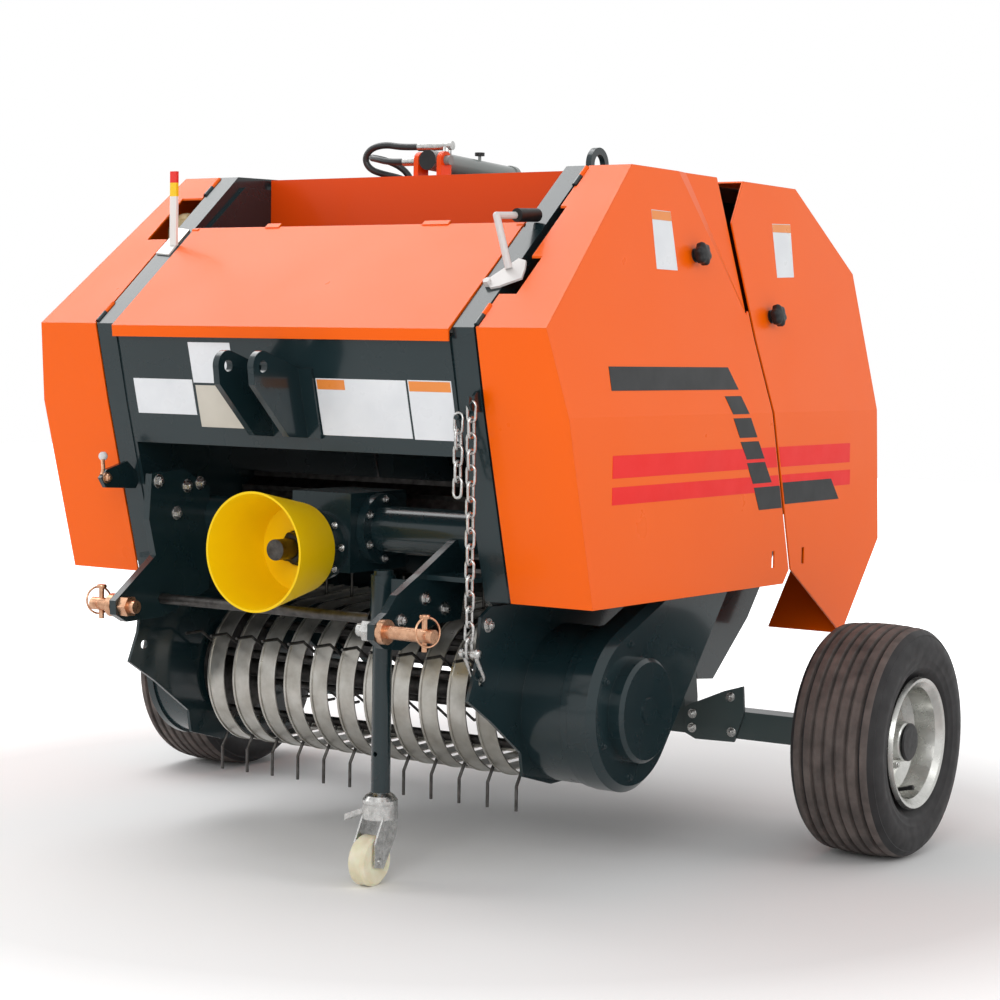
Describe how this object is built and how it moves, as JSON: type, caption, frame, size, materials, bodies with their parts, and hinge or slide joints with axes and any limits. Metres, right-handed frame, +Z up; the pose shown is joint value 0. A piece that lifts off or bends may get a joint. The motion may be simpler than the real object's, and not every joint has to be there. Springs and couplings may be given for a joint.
{
  "type": "mini round baler",
  "caption": "Small mounted round baler with pickup reel, folding sheet covers, hydraulic tailgate, hitch pins, drive shaft guard, jack and two wheels.",
  "frame": {"origin": "on the ground under the middle of the machine's box", "axes": "+Z up, -Y to the front with hitch, drive shaft and pickup, +X to the right seen from the front"},
  "size_m": [1.642, 1.28, 1.2477],
  "materials": {
    "orange_paint": "gloss",
    "green_paint": "gloss",
    "galvanised": "satin",
    "yellow_zinc": "satin",
    "bright_steel": "polished",
    "dark_steel": "satin",
    "spring_steel": "satin",
    "rim_silver": "satin",
    "tyre_rubber": "matte",
    "yellow_plastic": "gloss",
    "nylon": "satin",
    "hose_rubber": "matte",
    "twine": "matte",
    "white_paint": "satin"
  },
  "bodies": {
    "frame": {"axle": "green_paint", "bale_indicator": "white_paint", "brace_rod": "green_paint", "chain_cover": "green_paint", "crank_handle": "white_paint", "cross_tubes": "dark_steel", "frame_side_left": "green_paint", "frame_side_right": "green_paint", "front_panel": "green_paint", "gearbox": "dark_steel", "hitch_plate_left": "green_paint", "hitch_plate_right": "green_paint", "hose_lower": "hose_rubber", "hose_upper": "hose_rubber", "jack_sleeve": "green_paint", "lift_chains": "galvanised", "lifting_eye": "green_paint", "link_pin_left": "yellow_zinc", "link_pin_right": "yellow_zinc", "pickup_side_left": "green_paint", "pickup_side_right": "green_paint", "pto_guard": "yellow_plastic", "rollers_front": "dark_steel", "stripper_bands": "galvanised", "top_beam": "orange_paint", "top_link_ears": "green_paint", "twine_ball": "twine"},
    "tailgate": {"tailgate": "green_paint", "rollers_rear": "dark_steel"},
    "ram_barrel": {"ram_barrel": "green_paint"},
    "ram_rod": {"ram_rod": "bright_steel"},
    "hood": {"hood": "orange_paint"},
    "door_front_right": {"door_front_right": "orange_paint"},
    "door_front_left": {"door_front_left": "orange_paint"},
    "door_rear_right": {"door_rear_right": "orange_paint"},
    "door_rear_left": {"door_rear_left": "orange_paint"},
    "jack_post": {"jack_post": "green_paint"},
    "caster_fork": {"caster_fork": "galvanised"},
    "caster_wheel": {"caster_wheel": "nylon"},
    "wheel_right": {"tyre_right": "tyre_rubber", "rim_right": "rim_silver"},
    "wheel_left": {"tyre_left": "tyre_rubber", "rim_left": "rim_silver"},
    "reel": {"pickup_reel": "spring_steel"},
    "pto_shaft": {"pto_shaft": "dark_steel"}
  },
  "joints": [
    {"name": "tailgate_hinge", "type": "hinge", "parent": "frame", "child": "tailgate", "pos_m": [0, 0.122, 1.106], "axis": [1, 0, 0], "range_deg": [0, 45]},
    {"name": "ram_swing", "type": "hinge", "parent": "frame", "child": "ram_barrel", "pos_m": [0, -0.091, 1.206], "axis": [1, 0, 0], "range_deg": [0, 20.86]},
    {"name": "ram_slide", "type": "slide", "parent": "ram_barrel", "child": "ram_rod", "axis": [0, 0.9992, -0.039], "range_m": [-0.10123, 0]},
    {"name": "hood_hinge", "type": "hinge", "parent": "frame", "child": "hood", "pos_m": [0, -0.328, 1.073], "axis": [-1, 0, 0], "range_deg": [0, 95]},
    {"name": "door_front_right_hinge", "type": "hinge", "parent": "frame", "child": "door_front_right", "pos_m": [0.394, -0.368, 1.042], "axis": [0, -0.7678, -0.6406], "range_deg": [0, 80]},
    {"name": "door_front_left_hinge", "type": "hinge", "parent": "frame", "child": "door_front_left", "pos_m": [-0.394, -0.368, 1.042], "axis": [0, 0.7678, 0.6406], "range_deg": [0, 80]},
    {"name": "door_rear_right_hinge", "type": "hinge", "parent": "tailgate", "child": "door_rear_right", "pos_m": [0.394, 0.494, 1.1025], "axis": [0, -0.8048, 0.5936], "range_deg": [0, 80]},
    {"name": "door_rear_left_hinge", "type": "hinge", "parent": "tailgate", "child": "door_rear_left", "pos_m": [-0.394, 0.494, 1.1025], "axis": [0, 0.8048, -0.5936], "range_deg": [0, 80]},
    {"name": "jack_slide", "type": "slide", "parent": "frame", "child": "jack_post", "axis": [0, 0, 1], "range_m": [0, 0.18]},
    {"name": "caster_swivel", "type": "hinge", "parent": "jack_post", "child": "caster_fork", "pos_m": [0.183, -0.471, 0.15], "axis": [0, 0, 1], "continuous": true},
    {"name": "caster_spin", "type": "hinge", "parent": "caster_fork", "child": "caster_wheel", "pos_m": [0.183, -0.499, 0.041], "axis": [1, 0, 0], "continuous": true},
    {"name": "wheel_spin_right", "type": "hinge", "parent": "frame", "child": "wheel_right", "pos_m": [0.7385, 0.244, 0.203], "axis": [1, 0, 0], "continuous": true},
    {"name": "wheel_spin_left", "type": "hinge", "parent": "frame", "child": "wheel_left", "pos_m": [-0.7385, 0.244, 0.203], "axis": [1, 0, 0], "continuous": true},
    {"name": "reel_spin", "type": "hinge", "parent": "frame", "child": "reel", "pos_m": [0, -0.196, 0.283], "axis": [1, 0, 0], "continuous": true},
    {"name": "pto_spin", "type": "hinge", "parent": "frame", "child": "pto_shaft", "pos_m": [0, -0.431, 0.537], "axis": [0, 1, 0], "continuous": true}
  ],
  "couplings": [
    {"joint": "ram_swing", "follows": "tailgate_hinge", "ratio": 0.46348},
    {"joint": "ram_slide", "follows": "tailgate_hinge", "m_per_rad": -0.12889}
  ]
}
